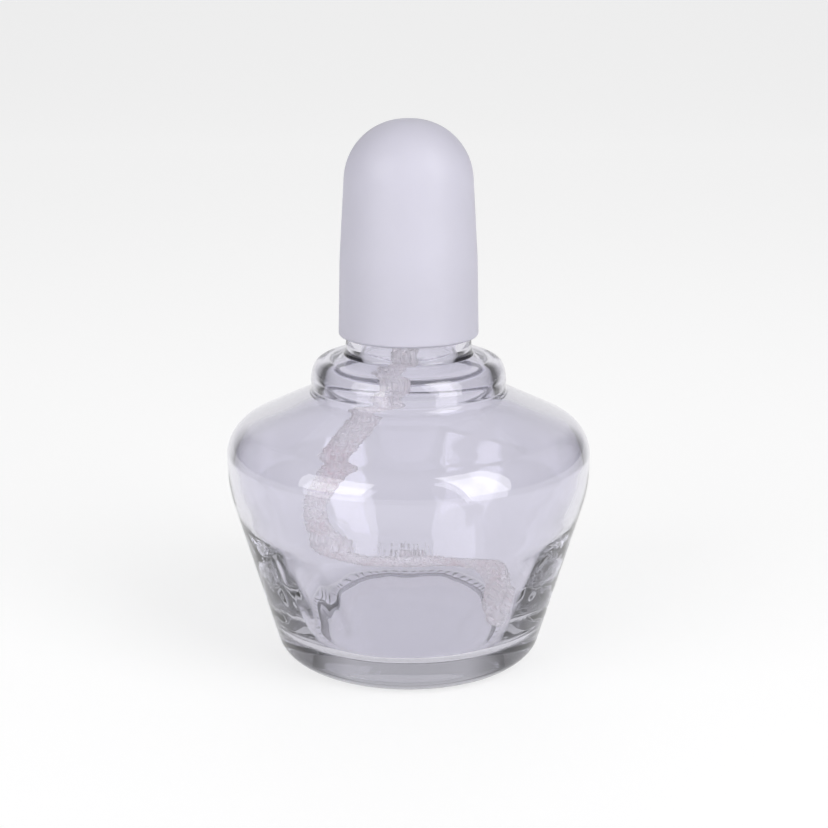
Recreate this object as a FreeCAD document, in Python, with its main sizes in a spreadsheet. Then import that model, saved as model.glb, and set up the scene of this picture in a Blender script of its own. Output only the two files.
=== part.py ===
"""Glass alcohol burner: a reservoir of clear glass, a frosted glass cap, a porcelain wick holder and a cotton wick.

Millimetres, +Z up. The origin is the centre of the ring that the reservoir stands on.
The turned pieces are bodies revolved about Z from sections whose corners are cells of the sheet Sizes.
The wick is two solids: wick_top is the stretch that the holder grips, and wick_tail is the limp rest of it.
"""
import FreeCAD
import Part
import math
import os

import Sketcher
from FreeCAD import Vector

# Driving dimensions: alias, millimetres. A name that ends in _rad is a radius about the axis,
# _level is a height above the resting face, and _round is the radius that a corner is rounded to.
SIZES = [
    # reservoir, outside
    ("recess_rad", 18.4),
    ("recess_level", 1.6),
    ("recess_round", 2.5),
    ("foot_rad", 20.2),
    ("foot_round", 1.0),
    ("heel_rad", 27.35),
    ("heel_round", 5.0),
    ("belly_rad", 38.33),
    ("belly_low_level", 37.55),
    ("belly_low_round", 24.0),
    ("belly_high_level", 48.67),
    ("belly_high_round", 7.5),
    ("crease_rad", 20.2),
    ("crease_level", 57.4),
    ("crease_round", 1.2),
    ("collar_rad", 20.6),
    ("collar_level", 59.6),
    ("collar_round", 5.0),
    ("collar_top_rad", 19.8),
    ("collar_top_level", 63.8),
    ("collar_top_round", 3.4),
    ("neck_foot_rad", 13.27),
    ("neck_foot_level", 65.1),
    ("neck_foot_round", 0.7),
    ("neck_rad", 12.24),
    ("neck_level", 84.0),
    ("lip_round", 0.8),
    # reservoir, chamber
    ("floor_level", 6.5),
    ("floor_rad", 24.0),
    ("floor_round", 4.0),
    ("wall_rad", 34.1),
    ("wall_level", 31.0),
    ("wall_round", 25.0),
    ("chamber_rad", 36.1),
    ("chamber_low_level", 37.9),
    ("chamber_low_round", 20.0),
    ("chamber_high_level", 46.8),
    ("chamber_high_round", 6.2),
    ("throat_rad", 17.9),
    ("throat_level", 55.45),
    ("throat_round", 2.6),
    ("throat_top_rad", 17.4),
    ("throat_top_level", 61.6),
    ("throat_top_round", 3.6),
    ("bore_rad", 10.0),
    ("bore_foot_level", 64.6),
    ("bore_foot_round", 3.0),
    ("mouth_level", 83.0),
    ("mouth_round", 1.5),
    ("mouth_flare_rad", 11.2),
    ("mouth_flare_level", 85.0),
    # cap
    ("rim_rad", 14.6),
    ("rim_level", 69.0),
    ("rim_round", 0.55),
    ("cap_waist_rad", 14.25),
    ("cap_waist_level", 85.0),
    ("cap_waist_round", 60.0),
    ("cap_crown_rad", 12.55),
    ("cap_crown_level", 113.44),
    ("cap_crown_round", 12.6),
    ("socket_rad", 13.15),
    ("socket_level", 68.0),
    ("hollow_crown_rad", 10.9),
    ("hollow_crown_level", 111.3),
    ("hollow_crown_round", 10.8),
    # wick holder
    ("tube_rad", 4.8),
    ("tube_level", 72.0),
    ("tube_round", 0.6),
    ("plug_rad", 9.4),
    ("plug_level", 80.0),
    ("plug_round", 0.8),
    ("plug_foot_round", 1.5),
    ("flange_rad", 11.8),
    ("flange_round", 0.5),
    ("flange_top_level", 86.2),
    ("flange_top_round", 0.9),
    ("spout_foot_rad", 5.0),
    ("spout_foot_level", 87.8),
    ("spout_foot_round", 2.5),
    ("spout_rad", 4.5),
    ("spout_level", 96.0),
    ("spout_round", 0.8),
    ("wick_hole_rad", 2.85),
    # wick
    ("wick_rad", 2.6),
    ("wick_join_level", 76.0),
    ("wick_tip_level", 102.0),
    ("wick_tip_round", 1.2),
    ("tail_rad", 2.5),
]

# The tail's route, from the holder's tube down to the left, round the back of the floor and forward on the
# right: the corner points that its runs join, each rounded by an arc. The first lies on the joint face.
TAIL_ROUTE = [
    (0.0, 0.0, 76.0),
    (0.0, 0.0, 66.5),
    (-3.4, 1.0, 57.0),
    (-9.6, 2.2, 48.6),
    (-16.6, 4.6, 40.0),
    (-20.9, 6.9, 31.4),
    (-21.0, 9.8, 22.6),
    (-17.2, 14.6, 15.4),
    (-10.6, 18.6, 10.9),
    (-1.4, 21.4, 10.1),
    (8.2, 20.6, 10.0),
    (16.6, 15.4, 10.0),
    (21.0, 6.8, 10.0),
    (21.4, -2.8, 9.9),
    (18.2, -11.6, 9.8),
]

ARC_SHARE = 0.45
SMALLEST_BEND = 3
AXIS_LINE = -2
BASE_LINE = -1
ORIGIN_POINT = (-1, 1)
START, END = 1, 2


def make_sheet(doc):
    """The spreadsheet of driving dimensions: a name in column A and its value, aliased, in column B."""
    sheet = doc.addObject("Spreadsheet::Sheet", "Sizes")
    for row, (alias, value) in enumerate(SIZES, start=1):
        sheet.set(f"A{row}", alias)
        sheet.set(f"B{row}", str(value))
        sheet.setAlias(f"B{row}", alias)
    doc.recompute()
    return sheet


def origin_plane(body, role):
    """One of a body's own origin planes or axes, found by its role."""
    return next(feature for feature in body.Origin.OriginFeatures if feature.Role == role)


class Section:
    """A closed half-section on a body's XZ plane. Its corners and roundings are bound to the sheet."""

    def __init__(self, body, sheet, name):
        self.sheet = sheet
        self.sketch = body.newObject("Sketcher::SketchObject", name)
        self.sketch.AttachmentSupport = [(origin_plane(body, "XZ_Plane"), "")]
        self.sketch.MapMode = "FlatFace"

    def value(self, cell):
        """The size that a cell of the sheet holds, or 0 where a corner lies on the axis or the base line."""
        return float(getattr(self.sheet, cell)) if cell else 0.0

    def bind(self, constraint, cell):
        """Add a dimension and drive it from a cell."""
        index = self.sketch.addConstraint(constraint)
        self.sketch.setExpression(f"Constraints[{index}]", f"<<Sizes>>.{cell}")

    def place(self, point, radius_cell, level_cell):
        """Hold a point at its radius and level."""
        geometry, end = point
        if radius_cell:
            across = Sketcher.Constraint("DistanceX", *ORIGIN_POINT, geometry, end, self.value(radius_cell))
            self.bind(across, radius_cell)
        else:
            self.sketch.addConstraint(Sketcher.Constraint("PointOnObject", geometry, end, AXIS_LINE))
        if level_cell:
            up = Sketcher.Constraint("DistanceY", *ORIGIN_POINT, geometry, end, self.value(level_cell))
            self.bind(up, level_cell)
        else:
            self.sketch.addConstraint(Sketcher.Constraint("PointOnObject", geometry, end, BASE_LINE))

    def draw(self, corners):
        """Draw the outline through corners of (radius cell, level cell, rounding cell), the last two optional."""
        cells = [tuple(corner) + (None,) * (3 - len(corner)) for corner in corners]
        points = [Vector(self.value(radius), self.value(level), 0) for radius, level, _ in cells]
        count = len(cells)
        cuts = []
        for index, (_, _, rounding) in enumerate(cells):
            before = (points[index - 1] - points[index]).normalize()
            after = (points[(index + 1) % count] - points[index]).normalize()
            half_turn = (math.pi - before.getAngle(after)) / 2
            trim = self.value(rounding) * math.tan(half_turn)
            cuts.append((points[index] + before * trim, points[index] + after * trim, before, after))
        sides = []
        for index in range(count):
            line = Part.LineSegment(cuts[index][1], cuts[(index + 1) % count][0])
            sides.append(self.sketch.addGeometry(line, False))
        for index, (radius, level, rounding) in enumerate(cells):
            arriving = sides[index - 1]
            leaving = sides[index]
            if rounding:
                corner = self.round_corner(arriving, leaving, points[index], cuts[index], rounding)
            else:
                self.sketch.addConstraint(Sketcher.Constraint("Coincident", arriving, END, leaving, START))
                corner = (leaving, START)
            self.place(corner, radius, level)

    def round_corner(self, arriving, leaving, point, cut, rounding):
        """Join two sides with a tangent arc. A construction point keeps the sharp corner."""
        first, last, before, after = cut
        radius = self.value(rounding)
        inward = (before + after).normalize()
        reach = radius / math.cos((math.pi - before.getAngle(after)) / 2)
        middle = point + inward * (reach - radius)
        arc = self.sketch.addGeometry(Part.Arc(first, middle, last), False)
        turns_left = (before * -1).cross(after).z > 0
        near, far = (START, END) if turns_left else (END, START)
        self.sketch.addConstraint(Sketcher.Constraint("Tangent", arriving, END, arc, near))
        self.sketch.addConstraint(Sketcher.Constraint("Tangent", leaving, START, arc, far))
        self.bind(Sketcher.Constraint("Radius", arc, radius), rounding)
        corner = self.sketch.addGeometry(Part.Point(point), True)
        for side in (arriving, leaving):
            self.sketch.addConstraint(Sketcher.Constraint("PointOnObject", corner, START, side))
        return corner, START


def revolve(doc, body, sheet, name, corners, kind="PartDesign::Revolution"):
    """Turn a section about the body's Z axis, as a solid or as a groove that must take material away."""
    section = Section(body, sheet, f"{name}_section")
    section.draw(corners)
    doc.recompute()
    before = body.Shape.Volume if kind == "PartDesign::Groove" else 0.0
    turned = body.newObject(kind, name)
    turned.Profile = section.sketch
    turned.ReferenceAxis = (section.sketch, ["V_Axis"])
    turned.Angle = 360.0
    doc.recompute()
    if kind == "PartDesign::Groove" and body.Shape.Volume >= before:
        raise RuntimeError(f"{name} removed nothing")
    return turned


def new_body(doc, label):
    """A body whose label names its file, standing in the part's own frame."""
    body = doc.addObject("PartDesign::Body", label)
    body.Label = label
    body.Placement = FreeCAD.Placement()
    return body


def make_reservoir(doc, sheet):
    """The clear glass bottle: a heavy base, a flared wall, a round belly, a flat shoulder, a collar and a neck."""
    body = new_body(doc, "glass_reservoir")
    revolve(doc, body, sheet, "bottle_blank", [
        (None, "recess_level"),
        ("recess_rad", "recess_level", "recess_round"),
        ("foot_rad", None, "foot_round"),
        ("heel_rad", None, "heel_round"),
        ("belly_rad", "belly_low_level", "belly_low_round"),
        ("belly_rad", "belly_high_level", "belly_high_round"),
        ("crease_rad", "crease_level", "crease_round"),
        ("collar_rad", "collar_level", "collar_round"),
        ("collar_top_rad", "collar_top_level", "collar_top_round"),
        ("neck_foot_rad", "neck_foot_level", "neck_foot_round"),
        ("neck_rad", "neck_level", "lip_round"),
        (None, "neck_level"),
    ])
    revolve(doc, body, sheet, "fuel_chamber", [
        (None, "floor_level"),
        ("floor_rad", "floor_level", "floor_round"),
        ("wall_rad", "wall_level", "wall_round"),
        ("chamber_rad", "chamber_low_level", "chamber_low_round"),
        ("chamber_rad", "chamber_high_level", "chamber_high_round"),
        ("throat_rad", "throat_level", "throat_round"),
        ("throat_top_rad", "throat_top_level", "throat_top_round"),
        ("bore_rad", "bore_foot_level", "bore_foot_round"),
        ("bore_rad", "mouth_level", "mouth_round"),
        ("mouth_flare_rad", "mouth_flare_level"),
        (None, "mouth_flare_level"),
    ], "PartDesign::Groove")
    return body


def make_cap(doc, sheet):
    """The domed glass cap. Its tapered socket stands on the neck's ground cone with a hair of clearance."""
    body = new_body(doc, "glass_cap")
    revolve(doc, body, sheet, "cap_blank", [
        (None, "rim_level"),
        ("rim_rad", "rim_level", "rim_round"),
        ("cap_waist_rad", "cap_waist_level", "cap_waist_round"),
        ("cap_crown_rad", "cap_crown_level", "cap_crown_round"),
        (None, "cap_crown_level"),
    ])
    revolve(doc, body, sheet, "cap_hollow", [
        (None, "socket_level"),
        ("socket_rad", "socket_level"),
        ("hollow_crown_rad", "hollow_crown_level", "hollow_crown_round"),
        (None, "hollow_crown_level"),
    ], "PartDesign::Groove")
    return body


def make_wick_holder(doc, sheet):
    """The porcelain stopper: a plug and flange that lie in and on the neck, with the wick tube through both."""
    body = new_body(doc, "wick_holder")
    revolve(doc, body, sheet, "holder_blank", [
        (None, "tube_level"),
        ("tube_rad", "tube_level", "tube_round"),
        ("tube_rad", "plug_level", "plug_foot_round"),
        ("plug_rad", "plug_level", "plug_round"),
        ("plug_rad", "neck_level"),
        ("flange_rad", "neck_level", "flange_round"),
        ("flange_rad", "flange_top_level", "flange_top_round"),
        ("spout_foot_rad", "spout_foot_level", "spout_foot_round"),
        ("spout_rad", "spout_level", "spout_round"),
        (None, "spout_level"),
    ])
    revolve(doc, body, sheet, "wick_hole", [
        (None, "socket_level"),
        ("wick_hole_rad", "socket_level"),
        ("wick_hole_rad", "wick_tip_level"),
        (None, "wick_tip_level"),
    ], "PartDesign::Groove")
    return body


def make_wick_top(doc, sheet):
    """The wick's upper stretch, from the joint face inside the tube to the tip that burns."""
    body = new_body(doc, "wick_top")
    revolve(doc, body, sheet, "wick_stem", [
        (None, "wick_join_level"),
        ("wick_rad", "wick_join_level"),
        ("wick_rad", "wick_tip_level", "wick_tip_round"),
        (None, "wick_tip_level"),
    ])
    return body


def rounded_path(route, diameter):
    """A wire of straight runs joined by tangent arcs, with its smallest bend checked and its length."""
    points = [Vector(*point) for point in route]
    edges = []
    radii = []
    leaving = points[0]
    for before, corner, after in zip(points, points[1:], points[2:], strict=False):
        back = before - corner
        ahead = after - corner
        half_turn = (math.pi - back.getAngle(ahead)) / 2
        trim = ARC_SHARE * min(back.Length, ahead.Length)
        radius = trim / math.tan(half_turn)
        back.normalize()
        ahead.normalize()
        first = corner + back * trim
        last = corner + ahead * trim
        rise = radius / math.cos(half_turn) - radius
        middle = corner + (back + ahead).normalize() * rise
        edges.append(Part.LineSegment(leaving, first).toShape())
        edges.append(Part.Arc(first, middle, last).toShape())
        radii.append(radius)
        leaving = last
    edges.append(Part.LineSegment(leaving, points[-1]).toShape())
    print("bend radii of the tail, mm:", ", ".join(f"{radius:.1f}" for radius in radii))
    if min(radii) < SMALLEST_BEND * diameter:
        raise RuntimeError("the tail bends too tightly")
    return Part.Wire(edges), sum(edge.Length for edge in edges)


def make_wick_tail(doc, sheet):
    """The limp tail: a tube along its route, from the joint face to its bare end on the floor of the reservoir."""
    radius = float(sheet.tail_rad)
    wire, length = rounded_path(TAIL_ROUTE, 2 * radius)
    start = Vector(*TAIL_ROUTE[0])
    heading = Vector(*TAIL_ROUTE[1]) - start
    mouth = Part.Wire([Part.makeCircle(radius, start, heading)])
    solid = wire.makePipeShell([mouth], True, True)
    expected = math.pi * radius * radius * length
    print(f"tail: {length:.1f} mm long, volume {solid.Volume:.0f} of {expected:.0f} cubic mm")
    if abs(solid.Volume / expected - 1) > 0.01:
        raise RuntimeError("the tail's tube isn't its section times its length")
    tail = doc.addObject("Part::Feature", "wick_tail")
    tail.Shape = solid
    tail.Placement = FreeCAD.Placement()
    tail.Label = "wick_tail"
    return tail


def check_document(doc, parts):
    """Stop unless every object recomputed and every sub-part is one valid solid."""
    for thing in doc.Objects:
        if "Invalid" in thing.State or "Error" in thing.State:
            raise RuntimeError(f"{thing.Label} did not recompute: {thing.State}")
    for part in parts:
        shape = part.Shape
        if shape.isNull() or not shape.isValid() or len(shape.Solids) != 1:
            raise RuntimeError(f"{part.Label} isn't one valid solid")


def brimful_capacity(reservoir):
    """The volume in ml that the reservoir holds up to the top of its neck."""
    box = reservoir.Shape.BoundBox
    hull = Part.makeCylinder(box.XMax + 1, box.ZMax, Vector(0, 0, 0)).cut(reservoir.Shape)
    inside = Vector(0, 0, box.ZMax / 2)
    return sum(solid.Volume for solid in hull.Solids if solid.isInside(inside, 0.01, False)) / 1000


def main():
    """Build the document, check it and write one file for each sub-part."""
    doc = FreeCAD.newDocument("alcohol_burner")
    sheet = make_sheet(doc)
    parts = [
        make_reservoir(doc, sheet),
        make_cap(doc, sheet),
        make_wick_holder(doc, sheet),
        make_wick_top(doc, sheet),
        make_wick_tail(doc, sheet),
    ]
    doc.recompute()
    check_document(doc, parts)
    print(f"brimful capacity: {brimful_capacity(parts[0]):.0f} ml")
    os.makedirs("parts", exist_ok=True)
    for part in parts:
        part.Shape.exportStep(f"parts/{part.Label}.step")
        print(f"{part.Label}: {part.Shape.Volume:.0f} cubic mm")


main()
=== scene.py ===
"""The looks of a glass alcohol burner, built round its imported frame.

The clear reservoir, the frosted cap and the porcelain wick holder are turned pieces with real walls, and the
wick is a round plait of cotton strands that follows one smooth route. +Z is up, in the frame's own place.
Outlines are in millimetres, and everything else is in metres.
"""

import logging
import math
from dataclasses import dataclass, field
from enum import Enum
from itertools import pairwise

import bpy
import numpy as np
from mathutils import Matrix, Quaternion, Vector, noise


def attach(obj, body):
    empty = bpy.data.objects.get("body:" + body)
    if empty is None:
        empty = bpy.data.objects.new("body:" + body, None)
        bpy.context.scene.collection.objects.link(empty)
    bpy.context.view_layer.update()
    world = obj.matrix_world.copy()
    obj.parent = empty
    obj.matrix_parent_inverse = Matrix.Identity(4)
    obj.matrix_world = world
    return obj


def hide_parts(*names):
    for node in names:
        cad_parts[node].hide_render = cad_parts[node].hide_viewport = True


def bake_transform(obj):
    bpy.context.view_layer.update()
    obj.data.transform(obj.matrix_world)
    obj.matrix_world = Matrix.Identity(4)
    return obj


LOG = logging.getLogger("burner")
MM = 0.001
SEED = 7
GLASS_TINT = (0.855, 0.845, 0.912, 1)
GLASS_INDEX = 1.5

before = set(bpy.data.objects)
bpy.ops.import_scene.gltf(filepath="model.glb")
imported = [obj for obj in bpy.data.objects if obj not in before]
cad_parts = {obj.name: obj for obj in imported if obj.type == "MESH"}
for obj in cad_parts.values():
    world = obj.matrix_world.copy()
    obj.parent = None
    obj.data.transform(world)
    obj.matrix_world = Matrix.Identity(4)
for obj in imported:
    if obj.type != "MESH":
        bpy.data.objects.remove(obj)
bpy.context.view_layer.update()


class Node(Enum):
    """The frame's nodes that the new pieces stand for."""

    RESERVOIR = "glass_reservoir"
    CAP = "glass_cap"
    HOLDER = "wick_holder"
    WICK_TOP = "wick_top"
    WICK_TAIL = "wick_tail"


class Body(Enum):
    """The frame's moving bodies."""

    RESERVOIR = "reservoir"
    HOLDER = "holder"
    WICK = "wick"
    CAP = "cap"


class Slot(Enum):
    """The record's material slots."""

    CLEAR = "clear_glass"
    FROSTED = "frosted_glass"
    PORCELAIN = "porcelain"
    COTTON = "cotton_wick"


# ---------------------------------------------------------------- outlines and turned pieces


@dataclass(frozen=True)
class Corner:
    """One corner of a turned piece's half-section, in millimetres."""

    radius: float
    level: float
    rounding: float = 0.0


@dataclass(frozen=True)
class Outline:
    """A half-section: corners joined by straight runs, each corner rounded by an arc."""

    corners: tuple[Corner, ...]
    arc_step: float = math.radians(5.0)
    run_step: float = 1.0

    def stations(self) -> list[tuple[float, float]]:
        """Work out the rings that the outline is turned from.

        Returns:
            (radius, level) of each ring in millimetres, in order along the outline.
        """
        points: list[tuple[float, float]] = []
        last = len(self.corners) - 1
        for index, corner in enumerate(self.corners):
            if index in (0, last) or not corner.rounding:
                self._run_to(points, (corner.radius, corner.level))
                continue
            for place in self._arc(self.corners[index - 1], corner, self.corners[index + 1]):
                self._run_to(points, place)
        return points

    def _run_to(self, points: list[tuple[float, float]], place: tuple[float, float]) -> None:
        """Add a place to the points, with evenly spaced ones before it where the run is long.

        Args:
            points: The points so far, which grow.
            place: The radius and level to reach.
        """
        if points:
            start = points[-1]
            length = math.dist(start, place)
            count = max(1, math.ceil(length / self.run_step))
            for share in (step / count for step in range(1, count)):
                points.append(tuple(a + (b - a) * share for a, b in zip(start, place, strict=True)))
            if length < 1e-6:
                return
        points.append(place)

    def _arc(self, before: Corner, corner: Corner, after: Corner) -> list[tuple[float, float]]:
        """Round one corner.

        Args:
            before: The corner before it.
            corner: The corner to round.
            after: The corner after it.

        Returns:
            Places along the arc, both tangent points among them.
        """
        here = Vector((corner.radius, corner.level))
        back = (Vector((before.radius, before.level)) - here).normalized()
        ahead = (Vector((after.radius, after.level)) - here).normalized()
        turn = math.pi - back.angle(ahead)
        first = here + back * corner.rounding * math.tan(turn / 2)
        middle = here + (back + ahead).normalized() * corner.rounding / math.cos(turn / 2)
        spoke = first - middle
        side = 1.0 if (-back).x * ahead.y - (-back).y * ahead.x > 0 else -1.0
        count = max(2, math.ceil(turn / self.arc_step))
        places = []
        for step in range(count + 1):
            angle = side * turn * step / count
            cosine, sine = math.cos(angle), math.sin(angle)
            across = middle.x + spoke.x * cosine - spoke.y * sine
            places.append((across, middle.y + spoke.x * sine + spoke.y * cosine))
        return places


def deselect_everything() -> None:
    """Leave edit mode and select nothing."""
    if bpy.context.mode != "OBJECT":
        bpy.ops.object.mode_set(mode="OBJECT")
    bpy.ops.object.select_all(action="DESELECT")


def turn_piece(name: str, stations: list[tuple[float, float]], segments: int) -> bpy.types.Object:
    """Turn a closed piece: extrude a point along the stations, then spin the half-section about the Z axis.

    Args:
        name: The piece's name.
        stations: (radius, level) of each ring in millimetres. The ends lie on the axis or are one place.
        segments: How many sides each ring has.

    Returns:
        The piece, with its place in its mesh.
    """
    deselect_everything()
    radius, level = stations[0]
    bpy.ops.mesh.primitive_plane_add(size=1 * MM, location=(radius * MM, 0, level * MM))
    piece = bpy.context.active_object
    piece.name = piece.data.name = name
    bpy.ops.object.transform_apply(location=True, rotation=True, scale=True)
    bpy.ops.object.mode_set(mode="EDIT")
    bpy.ops.mesh.select_mode(type="VERT")
    bpy.ops.mesh.select_all(action="SELECT")
    bpy.ops.mesh.merge(type="CENTER")
    for (here, low), (there, high) in pairwise(stations):
        step = ((there - here) * MM, 0, (high - low) * MM)
        bpy.ops.mesh.extrude_region_move(TRANSFORM_OT_translate={"value": step})
    bpy.ops.mesh.select_all(action="SELECT")
    bpy.ops.mesh.spin(steps=segments, angle=2 * math.pi, center=(0, 0, 0), axis=(0, 0, 1))
    bpy.ops.object.mode_set(mode="OBJECT")
    point_outwards(piece)
    return piece


def point_outwards(piece: bpy.types.Object) -> None:
    """Merge doubles and turn every face outwards.

    Args:
        piece: A closed mesh.
    """
    deselect_everything()
    piece.select_set(True)
    bpy.context.view_layer.objects.active = piece
    bpy.ops.object.mode_set(mode="EDIT")
    bpy.ops.mesh.select_all(action="SELECT")
    bpy.ops.mesh.remove_doubles(threshold=1e-7)
    bpy.ops.mesh.normals_make_consistent(inside=False)
    bpy.ops.object.mode_set(mode="OBJECT")
    bpy.ops.object.shade_smooth()
    piece.select_set(False)


def read_points(piece: bpy.types.Object) -> np.ndarray:
    """The piece's points, one row each, in metres."""
    points = np.zeros(len(piece.data.vertices) * 3, np.float32)
    piece.data.vertices.foreach_get("co", points)
    return points.reshape(-1, 3).astype(float)


def write_points(piece: bpy.types.Object, points: np.ndarray) -> None:
    """Put the piece's points where they are told, in metres."""
    piece.data.vertices.foreach_set("co", points.astype(np.float32).ravel())
    piece.data.update()


def smooth_step(low: float, high: float, value: np.ndarray) -> np.ndarray:
    """A rise from 0 at low to 1 at high, gentle at both ends."""
    share = np.clip((value - low) / (high - low), 0, 1)
    return share * share * (3 - 2 * share)


def hump(low: float, rise: float, fall: float, high: float, value: np.ndarray) -> np.ndarray:
    """A rise from low to rise, and a fall from fall to high."""
    return smooth_step(low, rise, value) * (1 - smooth_step(fall, high, value))


def swirl(points: np.ndarray, stretch: tuple[float, float, float], offset: float) -> np.ndarray:
    """Smooth seeded noise at each point.

    Args:
        points: Places, one row each.
        stretch: How many grains a metre along each axis.
        offset: Which part of the noise to use.

    Returns:
        One value from about -1 to 1 for each point.
    """
    scaled = points * np.array(stretch) + offset
    return np.array([noise.noise(Vector(place)) for place in scaled])


# ---------------------------------------------------------------- materials


class Nodes:
    """A material's node tree, with short calls to add and join nodes."""

    def __init__(self, name: str) -> None:
        """Start an empty material with an output."""
        self.material = bpy.data.materials.new(name)
        self.material.use_nodes = True
        self.tree = self.material.node_tree
        self.tree.nodes.clear()
        self.output = self.add("ShaderNodeOutputMaterial")

    def add(self, kind: str, **settings: object) -> bpy.types.Node:
        """Add a node.

        Args:
            kind: Blender's node type.
            settings: Properties of the node to set.

        Returns:
            The node.
        """
        node = self.tree.nodes.new(kind)
        for key, value in settings.items():
            setattr(node, key, value)
        return node

    def join(self, source: bpy.types.NodeSocket, target: bpy.types.NodeSocket) -> None:
        """Link an output to an input."""
        self.tree.links.new(source, target)

    def object_coordinates(self) -> bpy.types.NodeSocket:
        """The object's own coordinates, in metres."""
        return self.add("ShaderNodeTexCoord").outputs["Object"]

    def grain(self, source: bpy.types.NodeSocket, scale: float, detail: float,
              stretch: tuple[float, float, float] = (1, 1, 1), roughness: float = 0.5,
              ) -> bpy.types.NodeSocket:
        """Noise on stretched coordinates.

        Args:
            source: The coordinates.
            scale: Grains a metre.
            detail: Octaves.
            stretch: How much finer the grain is along each axis.
            roughness: How strong the finer octaves are.

        Returns:
            The noise factor.
        """
        mapping = self.add("ShaderNodeMapping")
        mapping.inputs["Scale"].default_value = stretch
        self.join(source, mapping.inputs["Vector"])
        texture = self.add("ShaderNodeTexNoise")
        texture.inputs["Scale"].default_value = scale
        texture.inputs["Detail"].default_value = detail
        texture.inputs["Roughness"].default_value = roughness
        self.join(mapping.outputs["Vector"], texture.inputs["Vector"])
        return texture.outputs["Fac"]

    def spread(self, source: bpy.types.NodeSocket, low: float, high: float,
               start: float = 0.3, end: float = 0.7) -> bpy.types.NodeSocket:
        """Map a factor's middle range to values.

        Args:
            source: The factor.
            low: The value at start.
            high: The value at end.
            start: The factor that gives low.
            end: The factor that gives high.

        Returns:
            The mapped value.
        """
        mapped = self.add("ShaderNodeMapRange")
        mapped.inputs["From Min"].default_value = start
        mapped.inputs["From Max"].default_value = end
        mapped.inputs["To Min"].default_value = low
        mapped.inputs["To Max"].default_value = high
        self.join(source, mapped.inputs["Value"])
        return mapped.outputs["Result"]

    def colours(self, source: bpy.types.NodeSocket, stops: list[tuple[float, tuple[float, float, float]]],
                ) -> bpy.types.NodeSocket:
        """A colour ramp.

        Args:
            source: The factor that reads it.
            stops: (place, linear colour) pairs, in order.

        Returns:
            The colour.
        """
        ramp = self.add("ShaderNodeValToRGB")
        elements = ramp.color_ramp.elements
        elements[0].position, elements[0].color = stops[0][0], (*stops[0][1], 1)
        elements[1].position, elements[1].color = stops[-1][0], (*stops[-1][1], 1)
        for place, colour in stops[1:-1]:
            elements.new(place).color = (*colour, 1)
        self.join(source, ramp.inputs["Fac"])
        return ramp.outputs["Color"]

    def bumped(self, layers: list[tuple[bpy.types.NodeSocket, float, float]]) -> bpy.types.NodeSocket:
        """Stack bumps.

        Args:
            layers: (height factor, strength, height in metres) of each bump.

        Returns:
            The normal.
        """
        normal = None
        for height, strength, distance in layers:
            bump = self.add("ShaderNodeBump")
            bump.inputs["Strength"].default_value = strength
            bump.inputs["Distance"].default_value = distance
            self.join(height, bump.inputs["Height"])
            if normal is not None:
                self.join(normal, bump.inputs["Normal"])
            normal = bump.outputs["Normal"]
        return normal

    def shader(self, **inputs: object) -> bpy.types.Node:
        """A Principled shader on the output.

        Args:
            inputs: Socket values, with underscores for spaces.

        Returns:
            The shader node.
        """
        node = self.add("ShaderNodeBsdfPrincipled")
        for key, value in inputs.items():
            node.inputs[key.replace("_", " ")].default_value = value
        self.join(node.outputs["BSDF"], self.output.inputs["Surface"])
        return node


@dataclass(frozen=True)
class ClearGlass:
    """Soda glass with a faint lavender grey cast, slight ripple and smudges."""

    ripple_height: float = 0.05 * MM
    smudge: tuple[float, float] = (0.0, 0.035)
    depth_tint: tuple[float, float, float, float] = (0.64, 0.64, 0.66, 1)
    depth_tint_density: float = 30.0

    def make(self) -> bpy.types.Material:
        """Build the material."""
        nodes = Nodes("clear_glass")
        place = nodes.object_coordinates()
        shader = nodes.shader(Base_Color=GLASS_TINT, IOR=GLASS_INDEX, Transmission_Weight=1.0)
        smudges = nodes.grain(place, 60, 4)
        nodes.join(nodes.spread(smudges, *self.smudge, 0.45, 0.75), shader.inputs["Roughness"])
        drawn = nodes.grain(place, 90, 2, (1, 1, 0.35))
        nodes.join(nodes.bumped([(drawn, 0.6, self.ripple_height)]), shader.inputs["Normal"])
        depth = nodes.add("ShaderNodeVolumeAbsorption")
        depth.inputs["Color"].default_value = self.depth_tint
        depth.inputs["Density"].default_value = self.depth_tint_density
        nodes.join(depth.outputs["Volume"], nodes.output.inputs["Volume"])
        return nodes.material


@dataclass(frozen=True)
class GroundGlass:
    """The neck's ground cone: matt, with fine rings from the grinding."""

    grit_height: float = 0.03 * MM

    def make(self) -> bpy.types.Material:
        """Build the material."""
        nodes = Nodes("ground_glass")
        place = nodes.object_coordinates()
        shader = nodes.shader(Base_Color=GLASS_TINT, IOR=GLASS_INDEX, Transmission_Weight=1.0)
        rings = nodes.grain(place, 300, 3, (0.12, 0.12, 4))
        nodes.join(nodes.spread(rings, 0.42, 0.58), shader.inputs["Roughness"])
        grit = nodes.grain(place, 5000, 2)
        nodes.join(nodes.bumped([(grit, 0.5, self.grit_height)]), shader.inputs["Normal"])
        return nodes.material


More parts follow.
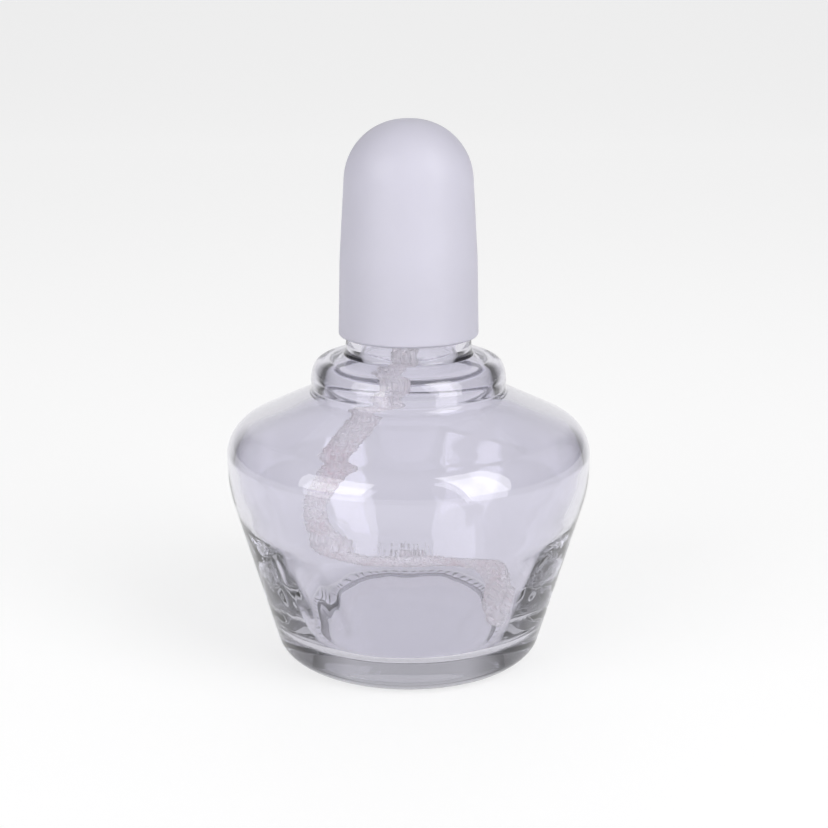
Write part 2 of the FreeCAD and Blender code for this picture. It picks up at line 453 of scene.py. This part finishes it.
@dataclass(frozen=True)
class FrostedGlass:
    """The cap's frosted glass: satin, lavender white and only just see-through."""

    pale: tuple[float, float, float] = (0.75, 0.735, 0.835)
    deep: tuple[float, float, float] = (0.715, 0.70, 0.795)
    see_through: float = 0.35
    frost_height: float = 0.02 * MM

    def make(self) -> bpy.types.Material:
        """Build the material."""
        nodes = Nodes("frosted_glass")
        place = nodes.object_coordinates()
        shader = nodes.shader(IOR=GLASS_INDEX, Transmission_Weight=self.see_through)
        clouds = nodes.grain(place, 55, 4)
        nodes.join(nodes.colours(clouds, [(0.3, self.deep), (0.7, self.pale)]), shader.inputs["Base Color"])
        satin = nodes.grain(place, 240, 3, (1, 1, 0.4))
        nodes.join(nodes.spread(satin, 0.46, 0.58), shader.inputs["Roughness"])
        frost = nodes.grain(place, 6000, 2)
        pitting = nodes.grain(place, 900, 3)
        layers = [(pitting, 0.25, self.frost_height), (frost, 0.4, self.frost_height)]
        nodes.join(nodes.bumped(layers), shader.inputs["Normal"])
        return nodes.material


@dataclass(frozen=True)
class Porcelain:
    """White glazed porcelain with a soft unevenness in the glaze."""

    pale: tuple[float, float, float] = (0.86, 0.85, 0.81)
    deep: tuple[float, float, float] = (0.80, 0.785, 0.735)
    glaze_height: float = 0.06 * MM

    def make(self) -> bpy.types.Material:
        """Build the material."""
        nodes = Nodes("porcelain")
        place = nodes.object_coordinates()
        shader = nodes.shader(Coat_Weight=0.35, Coat_Roughness=0.08, Specular_IOR_Level=0.55)
        body = nodes.grain(place, 180, 4)
        nodes.join(nodes.colours(body, [(0.3, self.deep), (0.65, self.pale)]), shader.inputs["Base Color"])
        nodes.join(nodes.spread(nodes.grain(place, 420, 3), 0.16, 0.3), shader.inputs["Roughness"])
        layers = [(nodes.grain(place, 260, 2), 0.35, self.glaze_height)]
        nodes.join(nodes.bumped(layers), shader.inputs["Normal"])
        return nodes.material


@dataclass(frozen=True)
class Cotton:
    """Cotton yarn, white with a faint pink cast, matt and fluffy.

    Its glow stands in for the lamps' light, which doesn't find its way in through the glass.
    """

    pale: tuple[float, float, float] = (0.98, 0.965, 0.975)
    warm: tuple[float, float, float] = (0.94, 0.915, 0.925)
    shade: tuple[float, float, float] = (0.86, 0.76, 0.785)
    fluff_height: float = 0.12 * MM
    fleck_share: float = 0.72
    glow: float = 0.17

    def make(self) -> bpy.types.Material:
        """Build the material."""
        nodes = Nodes("cotton_yarn")
        place = nodes.object_coordinates()
        shader = nodes.shader(Roughness=0.95, Sheen_Weight=0.35, Sheen_Roughness=0.5, Specular_IOR_Level=0.15,
                              Emission_Strength=self.glow)
        flecks = nodes.grain(place, 1100, 5, roughness=0.65)
        stains = nodes.grain(place, 130, 2)
        mixed = nodes.add("ShaderNodeMath", operation="MULTIPLY_ADD")
        nodes.join(flecks, mixed.inputs[0])
        mixed.inputs[1].default_value = self.fleck_share
        nodes.join(nodes.spread(stains, 0.0, 1 - self.fleck_share), mixed.inputs[2])
        stops = [(0.25, self.shade), (0.47, self.warm), (0.66, self.pale)]
        dyed = nodes.colours(mixed.outputs["Value"], stops)
        nodes.join(dyed, shader.inputs["Base Color"])
        nodes.join(dyed, shader.inputs["Emission Color"])
        layers = [(nodes.grain(place, 2600, 4, roughness=0.7), 0.8, self.fluff_height)]
        nodes.join(nodes.bumped(layers), shader.inputs["Normal"])
        return nodes.material


# ---------------------------------------------------------------- glass and porcelain


@dataclass
class Reservoir:
    """The clear bottle: one closed wall from the underside, over the lip, to the floor of the chamber."""

    segments: int = 240
    base_wave: float = 0.10
    wall_streak: float = 0.22
    shoulder_wave: float = 0.12
    outer_wave: float = 0.08
    knurls: int = 60
    knurl_depth: float = 0.22
    knurl_band: tuple[float, float] = (20.0, 22.4)
    foot_top: float = 2.2
    floor_top: float = 9.0
    streak_band: tuple[float, float, float, float] = (9.0, 14.0, 22.0, 32.0)
    shoulder_band: tuple[float, float, float, float] = (40.0, 47.0, 56.0, 60.0)
    outer_band: tuple[float, float, float, float] = (6.0, 12.0, 50.0, 56.0)
    ground_from: float = 68.6
    ground_outside: float = 11.6
    outside: tuple[Corner, ...] = (
        Corner(0.0, 1.6),
        Corner(18.4, 1.6, 2.5),
        Corner(20.2, 0.0, 1.0),
        Corner(27.35, 0.0, 5.0),
        Corner(38.33, 37.55, 24.0),
        Corner(38.33, 48.67, 7.5),
        Corner(20.2, 57.4, 1.2),
        Corner(20.6, 59.6, 5.0),
        Corner(19.8, 63.8, 3.4),
        Corner(13.27, 65.1, 0.7),
        Corner(12.24, 84.0, 0.8),
    )
    inside: tuple[Corner, ...] = (
        Corner(10.75, 84.0, 0.5),
        Corner(10.0, 82.6, 1.5),
        Corner(10.0, 64.6, 3.0),
        Corner(17.4, 61.6, 3.6),
        Corner(17.9, 55.45, 2.6),
        Corner(36.1, 46.8, 6.2),
        Corner(36.1, 37.9, 20.0),
        Corner(34.1, 31.0, 25.0),
        Corner(24.0, 6.5, 4.0),
        Corner(0.0, 6.5),
    )
    pieces: list[bpy.types.Object] = field(default_factory=list)

    def build(self) -> None:
        """Turn the bottle, make its glass uneven and dress it."""
        stations = Outline(self.outside + self.inside).stations()
        bottle = turn_piece("reservoir_glass", stations, self.segments)
        self._make_uneven(bottle)
        bottle.data.materials.append(ClearGlass().make())
        bottle.data.materials.append(GroundGlass().make())
        self._mark_ground_cone(bottle)
        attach(bottle, Body.RESERVOIR.value)
        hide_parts(Node.RESERVOIR.value)
        self.pieces.append(bottle)
        LOG.info("reservoir: %d faces", len(bottle.data.polygons))

    def _make_uneven(self, bottle: bpy.types.Object) -> None:
        """Give the glass the waves, streaks and stipples of a pressed bottle.

        Args:
            bottle: The turned bottle, whose points move by at most half a millimetre.
        """
        points = read_points(bottle)
        radius = np.hypot(points[:, 0], points[:, 1]) / MM
        level = points[:, 2] / MM
        inner = self._is_inner(radius, level)
        around = points / MM
        streaks = swirl(around, (0.17, 0.17, 0.04), 3.1) + 0.4 * swirl(around, (0.40, 0.40, 0.06), 9.7)
        calmer_right = 1 - 0.5 * smooth_step(-10.0, 12.0, points[:, 0] / MM)
        streaked = hump(*self.streak_band, level) * calmer_right
        waves = swirl(around, (0.09, 0.09, 0.12), 21.3)
        shoulder = hump(*self.shoulder_band, level)
        inside = streaks * self.wall_streak * streaked + waves * self.shoulder_wave * shoulder
        outside = waves * self.outer_wave * hump(*self.outer_band, level)
        move = np.where(inner, inside, 0.0)
        move += np.where(inner, 0.0, outside)
        reach = np.maximum(radius, 1e-6)
        for axis in (0, 1):
            points[:, axis] += points[:, axis] / reach * move
        floor = inner & (level < self.floor_top)
        ripples = swirl(around, (0.16, 0.16, 0.16), 5.9) * self.base_wave * 0.5
        points[:, 2] += np.where(floor, ripples * (1 - smooth_step(15.0, 24.0, radius)), 0.0) * MM
        points[:, 2] += self._knurls(points, radius, level, inner) * MM
        write_points(bottle, points)

    def _knurls(self, points: np.ndarray, radius: np.ndarray, level: np.ndarray,
                inner: np.ndarray) -> np.ndarray:
        """A row of short radial hollows round the ring that the bottle stands on.

        Args:
            points: The bottle's points.
            radius: Their radii in millimetres.
            level: Their levels in millimetres.
            inner: Which of them are on the chamber's side.

        Returns:
            How far each point rises, in millimetres.
        """
        low, high = self.knurl_band
        angle = np.arctan2(points[:, 1], points[:, 0])
        dents = 0.5 - 0.5 * np.cos(self.knurls * angle)
        band = hump(low, low + 0.6, high - 0.6, high, radius)
        return np.where((~inner) & (level < self.foot_top), dents * band * self.knurl_depth, 0.0)

    def _is_inner(self, radius: np.ndarray, level: np.ndarray) -> np.ndarray:
        """Which points are on the chamber's side of the wall."""
        places = Outline(self.inside).stations()
        levels = np.array([place[1] for place in reversed(places)])
        radii = np.array([place[0] for place in reversed(places)])
        return (radius <= np.interp(level, levels, radii) + 0.05) & (level >= levels[0] - 0.05)

    def _mark_ground_cone(self, bottle: bpy.types.Object) -> None:
        """Give the ground cone outside the neck its own finish."""
        for face in bottle.data.polygons:
            middle = face.center / MM
            if middle.z > self.ground_from and math.hypot(middle.x, middle.y) > self.ground_outside:
                face.material_index = 1


@dataclass
class Cap:
    """The frosted cap: a domed hood with an even wall and a rounded rim."""

    segments: int = 192
    wave: float = 0.05
    wavy_from: float = 88.0
    outline: tuple[Corner, ...] = (
        Corner(0.0, 113.44),
        Corner(12.55, 113.44, 12.6),
        Corner(14.25, 85.0, 60.0),
        Corner(14.6, 69.0, 0.55),
        Corner(13.1, 69.0, 0.35),
        Corner(10.9, 111.3, 10.8),
        Corner(0.0, 111.3),
    )
    pieces: list[bpy.types.Object] = field(default_factory=list)

    def build(self) -> None:
        """Turn the cap and dress it."""
        cap = turn_piece("frosted_cap", Outline(self.outline).stations(), self.segments)
        points = read_points(cap)
        radius = np.hypot(points[:, 0], points[:, 1]) / MM
        shift = swirl(points / MM, (0.07, 0.07, 0.05), 2.2) * self.wave
        shift = np.where(points[:, 2] / MM > self.wavy_from, shift, 0.0) / np.maximum(radius, 1.0)
        for axis in (0, 1):
            points[:, axis] *= 1 + np.minimum(shift, 0.0)
        write_points(cap, points)
        cap.data.materials.append(FrostedGlass().make())
        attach(cap, Body.CAP.value)
        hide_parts(Node.CAP.value)
        self.pieces.append(cap)
        LOG.info("cap: %d faces", len(cap.data.polygons))


@dataclass
class Holder:
    """The porcelain wick holder: plug, flange and tube in one piece."""

    segments: int = 128
    outline: tuple[Corner, ...] = (
        Corner(2.85, 74.0),
        Corner(2.85, 72.0, 0.4),
        Corner(4.8, 72.0, 0.6),
        Corner(4.8, 80.0, 1.5),
        Corner(9.4, 80.0, 0.8),
        Corner(9.4, 84.0),
        Corner(11.8, 84.0, 0.5),
        Corner(11.8, 86.2, 0.9),
        Corner(5.0, 87.8, 2.5),
        Corner(4.5, 96.0, 0.8),
        Corner(2.85, 96.0, 0.45),
        Corner(2.85, 74.0),
    )
    pieces: list[bpy.types.Object] = field(default_factory=list)

    def build(self) -> None:
        """Turn the holder and dress it."""
        holder = turn_piece("porcelain_holder", Outline(self.outline).stations(), self.segments)
        holder.data.materials.append(Porcelain().make())
        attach(holder, Body.HOLDER.value)
        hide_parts(Node.HOLDER.value)
        self.pieces.append(holder)
        LOG.info("holder: %d faces", len(holder.data.polygons))


# ---------------------------------------------------------------- the wick


@dataclass(frozen=True)
class Plait:
    """How a round cotton plait is laid: two sets of strands wind opposite ways, over and under each other."""

    strands: int = 7
    yarns: int = 3
    yarn_radius: float = 0.32 * MM
    yarn_lay: float = 0.34 * MM
    yarn_twist: float = 4.6 * MM
    lay_radius: float = 1.92 * MM
    weave: float = 0.36 * MM
    turn_length: float = 17.0 * MM
    sides: int = 5
    step: float = 0.55 * MM
    fluff: int = 1100
    fibre_radius: float = 0.06 * MM
    fibre_length: float = 2.8 * MM

    @property
    def skin(self) -> float:
        """How far out the strands' outer faces lie, in metres."""
        return self.lay_radius + self.yarn_lay + self.yarn_radius


@dataclass
class Track:
    """Points down the middle of a cord, with a frame at each that doesn't twist."""

    points: np.ndarray
    across: np.ndarray = field(init=False)
    over: np.ndarray = field(init=False)
    along: np.ndarray = field(init=False)
    ahead: np.ndarray = field(init=False)

    def __post_init__(self) -> None:
        """Work out the frames."""
        steps = np.linalg.norm(np.diff(self.points, axis=0), axis=1)
        self.along = np.concatenate([[0.0], np.cumsum(steps)])
        ahead = np.gradient(self.points, axis=0)
        self.ahead = ahead / np.linalg.norm(ahead, axis=1)[:, None]
        side = Vector((1, 0, 0))
        sides = []
        for before, after in pairwise([Vector(row) for row in (self.ahead[0], *self.ahead)]):
            side.rotate(before.rotation_difference(after) if before != after else Quaternion())
            side = (side - after * side.dot(after)).normalized()
            sides.append(side.copy())
        self.across = np.array([tuple(row) for row in sides])
        self.over = np.cross(self.ahead, self.across)

    @property
    def length(self) -> float:
        """The track's length in metres."""
        return float(self.along[-1])

    def place(self, angle: np.ndarray, radius: np.ndarray) -> np.ndarray:
        """Points at an angle and a distance round each point of the track."""
        out = self.across * np.cos(angle)[:, None] + self.over * np.sin(angle)[:, None]
        return self.points + out * radius[:, None]


def spaced_track(points: np.ndarray, step: float) -> Track:
    """A track along the same line with evenly spaced points.

    Args:
        points: Points down the line.
        step: The spacing in metres.

    Returns:
        The track.
    """
    along = np.concatenate([[0.0], np.cumsum(np.linalg.norm(np.diff(points, axis=0), axis=1))])
    at = np.linspace(0, along[-1], max(3, round(along[-1] / step)))
    return Track(np.stack([np.interp(at, along, points[:, axis]) for axis in range(3)], axis=1))


class MeshParts:
    """Points and faces gathered from several tubes, to make one mesh."""

    def __init__(self) -> None:
        """Start with nothing."""
        self.points: list[np.ndarray] = []
        self.faces: list[tuple[int, ...]] = []
        self.count = 0

    def tube(self, line: np.ndarray, radius: np.ndarray, sides: int) -> None:
        """Add a closed tube.

        Args:
            line: The points it follows.
            radius: Its radius at each.
            sides: How many sides it has.
        """
        track = Track(line)
        angles = [2 * math.pi * side / sides for side in range(sides)]
        grid = np.stack([track.place(np.full(len(line), angle), radius) for angle in angles], axis=1)
        start = self.count
        self.points.append(grid.reshape(-1, 3))
        for row in range(len(line) - 1):
            for side in range(sides):
                after = (side + 1) % sides
                low, high = start + row * sides, start + (row + 1) * sides
                self.faces.append((low + side, low + after, high + after, high + side))
        last = start + (len(line) - 1) * sides
        self.faces.append(tuple(start + side for side in reversed(range(sides))))
        self.faces.append(tuple(last + side for side in range(sides)))
        self.count += len(line) * sides

    def make(self, name: str) -> bpy.types.Object:
        """Make the object, smooth, with its faces outwards."""
        mesh = bpy.data.meshes.new(name)
        mesh.from_pydata(np.concatenate(self.points).tolist(), [], self.faces)
        mesh.validate()
        piece = bpy.data.objects.new(name, mesh)
        bpy.context.scene.collection.objects.link(piece)
        mesh.shade_smooth()
        return piece


def lay_plait(parts: MeshParts, track: Track, plait: Plait, width: np.ndarray, rng: np.random.Generator,
              ends: tuple[float, float] = (0.0, 0.0), core_stop: float = 1.0 * MM) -> None:
    """Lay the strands of a plait along a track.

    Args:
        parts: The mesh parts, which grow.
        track: The line it follows.
        plait: How it is laid.
        width: Its width at each point of the track, as a share of the usual.
        rng: The seeded random source.
        ends: How much of the start and of the end each strand may stop short of, in metres.
        core_stop: How far before the end the core stops, in metres.
    """
    turns = 2 * math.pi * track.along / plait.turn_length
    for hand in (1, -1):
        for strand in range(plait.strands):
            start, stop = (rng.uniform(0, reach) for reach in ends)
            kept = (track.along >= start) & (track.along <= track.length - stop)
            loose = rng.normal(0, 1, 12)
            drift = np.interp(track.along, np.linspace(0, track.length, 12), loose)
            angle = 2 * math.pi * strand / plait.strands + hand * turns + 0.10 * drift
            wave = hand * plait.weave * np.cos(plait.strands * turns)
            radius = (plait.lay_radius + 0.10 * MM * drift) * width + wave
            line = track.place(angle, radius)[kept]
            lay_strand(parts, Track(line), plait, width[kept], rng)
    kept = (track.along > 1 * MM) & (track.along < track.length - core_stop)
    parts.tube(track.points[kept], plait.lay_radius * 0.92 * width[kept], 8)


def lay_strand(parts: MeshParts, track: Track, plait: Plait, width: np.ndarray,
               rng: np.random.Generator) -> None:
    """Twist a strand from its yarns.

    Args:
        parts: The mesh parts, which grow.
        track: The line of the strand.
        plait: How it is laid.
        width: Its width at each point, as a share of the usual.
        rng: The seeded random source.
    """
    twist = 2 * math.pi * track.along / plait.yarn_twist + rng.uniform(0, 2 * math.pi)
    for yarn in range(plait.yarns):
        loose = np.interp(track.along, np.linspace(0, track.length, 30), rng.uniform(0.8, 1.35, 30))
        line = track.place(twist + 2 * math.pi * yarn / plait.yarns, plait.yarn_lay * loose * width)
        parts.tube(line, plait.yarn_radius * (0.6 + 0.4 * width) * (1.5 - 0.5 * loose), plait.sides)


def lay_fluff(parts: MeshParts, track: Track, plait: Plait, width: np.ndarray,
              rng: np.random.Generator) -> None:
    """Stand loose fibres off the plait.

    Args:
        parts: The mesh parts, which grow.
        track: The line that the plait follows.
        plait: How it is laid.
        width: Its width at each point of the track, as a share of the usual.
        rng: The seeded random source.
    """
    for _ in range(plait.fluff):
        at = int(rng.integers(3, len(track.points) - 3))
        angle = rng.uniform(0, 2 * math.pi)
        out = track.across[at] * math.cos(angle) + track.over[at] * math.sin(angle)
        root = track.points[at] + out * (plait.skin * width[at] - 0.5 * MM)
        lean = track.ahead[at] * rng.normal(0, 1.0) + np.cross(track.ahead[at], out) * rng.normal(0, 1.0)
        reach = plait.fibre_length * rng.uniform(0.45, 1.0)
        rise = out * rng.uniform(0.35, 0.75) * reach
        curl = lean / max(np.linalg.norm(lean), 1e-6) * reach * 0.6
        shares = np.linspace(0, 1, 5)[:, None]
        line = root + rise * shares * (1.6 - 0.9 * shares) + curl * shares**1.5
        radius = plait.fibre_radius * (1.1 - 0.9 * shares[:, 0])
        parts.tube(line, radius, 3)


@dataclass
class Wick:
    """The cotton wick: the stretch in the holder, with its frayed tip, and the limp tail below it."""

    diameter: float = 5.0 * MM
    tail_length: float = 0.1353
    join_level: float = 76.0 * MM
    tip_level: float = 102.0 * MM
    tube_mouth: float = 72.0 * MM
    tube_top: float = 96.0 * MM
    bore_share: float = 0.78
    route: tuple[tuple[float, float, float], ...] = (
        (0.0000, 0.0000, 0.0760),
        (0.0000, 0.0000, 0.0665),
        (-0.0034, 0.0010, 0.0570),
        (-0.0096, 0.0022, 0.0486),
        (-0.0166, 0.0046, 0.0400),
        (-0.0209, 0.0069, 0.0314),
        (-0.0210, 0.0098, 0.0226),
        (-0.0172, 0.0146, 0.0154),
        (-0.0106, 0.0186, 0.0109),
        (-0.0014, 0.0214, 0.0101),
        (0.0082, 0.0206, 0.0100),
        (0.0166, 0.0154, 0.0100),
        (0.0210, 0.0068, 0.0100),
        (0.0214, -0.0028, 0.0099),
        (0.0182, -0.0116, 0.0098),
    )
    pieces: list[bpy.types.Object] = field(default_factory=list)

    def build(self) -> None:
        """Plait the tail and the top, and dress them alike."""
        yarn = Cotton().make()
        for piece in (self._tail(), self._top()):
            piece.data.materials.append(yarn)
            self.pieces.append(piece)
            LOG.info("%s: %d faces", piece.name, len(piece.data.polygons))

    def _route_line(self) -> np.ndarray:
        """Points along the tail's smooth route, as its spline gives them."""
        data = bpy.data.curves.new("wick_route", "CURVE")
        data.dimensions = "3D"
        data.resolution_u = 24
        spline = data.splines.new("NURBS")
        spline.points.add(len(self.route) - 1)
        for point, place in zip(spline.points, self.route, strict=True):
            point.co = (*place, 1.0)
        spline.order_u = 3
        spline.use_endpoint_u = True
        guide = bpy.data.objects.new("wick_route", data)
        mesh = bpy.data.meshes.new_from_object(guide)
        line = np.array([tuple(vertex.co) for vertex in mesh.vertices])
        bpy.data.meshes.remove(mesh)
        bpy.data.objects.remove(guide)
        bpy.data.curves.remove(data)
        return line

    def _tail(self) -> bpy.types.Object:
        """The limp tail, pinched in the holder's tube and frayed at its bare end."""
        rng = np.random.default_rng(SEED)
        plait = Plait()
        line = self._route_line()
        track = spaced_track(line, plait.step)
        in_tube = 1 - smooth_step(0.002, 0.014, track.along)
        loose = np.interp(track.along, np.linspace(0, track.length, 9), rng.uniform(0.92, 1.14, 9))
        width = loose * (1 - in_tube) + self.bore_share * in_tube
        width *= 1 - 0.16 * smooth_step(track.length - 0.012, track.length, track.along)
        parts = MeshParts()
        lay_plait(parts, track, plait, width, rng, (0.0, 0.7 * MM), core_stop=1.0 * MM)
        lay_fluff(parts, track, plait, width, rng)
        tail = parts.make("wick_tail_plait")
        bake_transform(tail)
        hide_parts(Node.WICK_TAIL.value)
        return tail

    def _top(self) -> bpy.types.Object:
        """The stretch that the holder grips, with a frayed tip above the tube."""
        rng = np.random.default_rng(SEED + 1)
        plait = Plait(fluff=0, step=0.4 * MM)
        levels = np.linspace(self.join_level, self.tip_level, 64)
        track = Track(np.stack([levels * 0, levels * 0, levels], axis=1))
        width = self.bore_share + 0.16 * smooth_step(self.tube_top - 1 * MM, self.tip_level - 2 * MM, levels)
        parts = MeshParts()
        lay_plait(parts, track, plait, width, rng, (0.0, 1.5 * MM))
        top = parts.make("wick_top_plait")
        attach(top, Body.WICK.value)
        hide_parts(Node.WICK_TOP.value)
        return top


# ---------------------------------------------------------------- the studio


@dataclass
class Studio:
    """A pale floor that sweeps up behind, a soft sky, a window at each side of the front and the camera."""

    camera_distance: float = 0.32088
    camera_height: float = 0.13688
    aim_height: float = 0.057
    lens: float = 68.24
    shift: tuple[float, float] = (0.0065, -0.0295)
    floor_front: float = 0.8
    wall_height: float = 1.5
    sweep_start: float = 1.2
    sweep_radius: float = 1.0
    sweep_steps: int = 24
    floor_glow: float = 0.67
    side_glow: float = 0.04
    side_fade: tuple[float, float] = (0.7, 1.5)
    floor_half_width: float = 1.6
    room_glow: tuple[float, float] = (0.6, 8.0)
    front_glow: float = 0.75
    bounces: int = 28

    def build(self) -> None:
        """Make the camera, the floor and the lights."""
        self._camera()
        self._floor()
        self._world()
        self._window("window_right", azimuth=49, elevation=30, distance=0.9, size=(0.50, 1.10), power=7)
        self._window("window_left", azimuth=-48, elevation=22, distance=0.9, size=(0.70, 0.60), power=4.5)
        bpy.context.scene.view_settings.view_transform = "Standard"
        self._allow_bounces()

    def _allow_bounces(self) -> None:
        """Let light bounce often enough to get out of the thick glass."""
        cycles = bpy.context.scene.cycles
        cycles.max_bounces = self.bounces
        cycles.transmission_bounces = self.bounces
        cycles.glossy_bounces = self.bounces

    def _camera(self) -> None:
        """Stand the camera in front, looking down a little."""
        data = bpy.data.cameras.new("camera")
        data.lens = self.lens
        data.sensor_width = 36.0
        data.shift_x, data.shift_y = self.shift
        data.clip_start = 0.01
        camera = bpy.data.objects.new("camera", data)
        place = Vector((0, -self.camera_distance, self.camera_height))
        camera.location = place
        camera.rotation_euler = (Vector((0, 0, self.aim_height)) - place).to_track_quat("-Z", "Y").to_euler()
        bpy.context.scene.collection.objects.link(camera)
        bpy.context.scene.camera = camera

    def _floor(self) -> None:
        """A wide pale floor that sweeps up behind into a wall, with a glow that fades towards its sides."""
        deselect_everything()
        bpy.ops.mesh.primitive_plane_add(size=1, location=(0, 0, 0))
        floor = bpy.context.active_object
        floor.name = "floor"
        bpy.ops.object.mode_set(mode="EDIT")
        bpy.ops.transform.resize(value=(2 * self.floor_half_width, self.sweep_start + self.floor_front, 1))
        bpy.ops.transform.translate(value=(0, (self.sweep_start - self.floor_front) / 2, 0))
        bpy.ops.mesh.select_mode(type="EDGE")
        bpy.ops.mesh.select_all(action="DESELECT")
        bpy.ops.object.mode_set(mode="OBJECT")
        for edge in floor.data.edges:
            ends = [floor.data.vertices[index].co.y for index in edge.vertices]
            edge.select = min(ends) > self.sweep_start - 1e-4
        bpy.ops.object.mode_set(mode="EDIT")
        for step in range(self.sweep_steps):
            low, high = (math.pi / 2 * share / self.sweep_steps for share in (step, step + 1))
            ahead = self.sweep_radius * (math.sin(high) - math.sin(low))
            rise = self.sweep_radius * (math.cos(low) - math.cos(high))
            bpy.ops.mesh.extrude_region_move(TRANSFORM_OT_translate={"value": (0, ahead, rise)})
        bpy.ops.mesh.extrude_region_move(TRANSFORM_OT_translate={"value": (0, 0, self.wall_height)})
        bpy.ops.object.mode_set(mode="OBJECT")
        bpy.ops.object.shade_smooth()
        nodes = Nodes("floor_paint")
        shader = nodes.shader(Base_Color=(0.33, 0.33, 0.332, 1), Specular_IOR_Level=0.2,
                              Emission_Color=(1, 1, 1, 1))
        speck = nodes.grain(nodes.object_coordinates(), 400, 2)
        nodes.join(nodes.spread(speck, 0.65, 0.75), shader.inputs["Roughness"])
        split = nodes.add("ShaderNodeSeparateXYZ")
        nodes.join(nodes.object_coordinates(), split.inputs["Vector"])
        beside = nodes.add("ShaderNodeMath", operation="ABSOLUTE")
        nodes.join(split.outputs["X"], beside.inputs[0])
        glow = nodes.spread(beside.outputs["Value"], self.floor_glow, self.side_glow, *self.side_fade)
        nodes.join(glow, shader.inputs["Emission Strength"])
        floor.data.materials.append(nodes.material)
        floor.select_set(False)

    def _world(self) -> None:
        """Soft light from all round, brighter overhead and in front than at the horizon behind."""
        world = bpy.data.worlds.new("room")
        world.use_nodes = True
        tree = world.node_tree
        place = tree.nodes.new("ShaderNodeTexCoord")
        split = tree.nodes.new("ShaderNodeSeparateXYZ")
        rise = tree.nodes.new("ShaderNodeMapRange")
        rise.inputs["From Min"].default_value, rise.inputs["From Max"].default_value = 0.0, 0.7
        rise.inputs["To Min"].default_value, rise.inputs["To Max"].default_value = self.room_glow
        tree.links.new(place.outputs["Generated"], split.inputs["Vector"])
        tree.links.new(split.outputs["Z"], rise.inputs["Value"])
        front = tree.nodes.new("ShaderNodeMapRange")
        front.inputs["From Min"].default_value, front.inputs["From Max"].default_value = 0.2, -0.8
        front.inputs["To Max"].default_value = self.front_glow
        tree.links.new(split.outputs["Y"], front.inputs["Value"])
        total = tree.nodes.new("ShaderNodeMath")
        tree.links.new(rise.outputs["Result"], total.inputs[0])
        tree.links.new(front.outputs["Result"], total.inputs[1])
        tree.links.new(total.outputs["Value"], tree.nodes["Background"].inputs["Strength"])
        bpy.context.scene.world = world

    def _window(self, name: str, azimuth: float, elevation: float, distance: float,
                size: tuple[float, float], power: float) -> None:
        """Hang one soft window.

        Args:
            name: Its name.
            azimuth: Degrees to the right of the front.
            elevation: Degrees above the floor.
            distance: Metres from the burner.
            size: Its width and height in metres.
            power: Watts.
        """
        data = bpy.data.lights.new(name, "AREA")
        data.shape = "RECTANGLE"
        data.size, data.size_y = size
        data.energy = power
        light = bpy.data.objects.new(name, data)
        turn, rise = math.radians(azimuth), math.radians(elevation)
        away = Vector((math.sin(turn) * math.cos(rise), -math.cos(turn) * math.cos(rise), math.sin(rise)))
        light.location = away * distance + Vector((0, 0, 0.05))
        light.rotation_euler = (-away).to_track_quat("-Z", "Y").to_euler()
        bpy.context.scene.collection.objects.link(light)


def main() -> None:
    """Build the studio and the burner's pieces in order, and report each."""
    logging.basicConfig(level=logging.INFO, format="%(name)s: %(message)s")
    Studio().build()
    for assembly in (Wick(), Holder(), Reservoir(), Cap()):
        assembly.build()
        LOG.info("%s: %s", type(assembly).__name__, ", ".join(piece.name for piece in assembly.pieces))


if __name__ == "__main__":
    main()
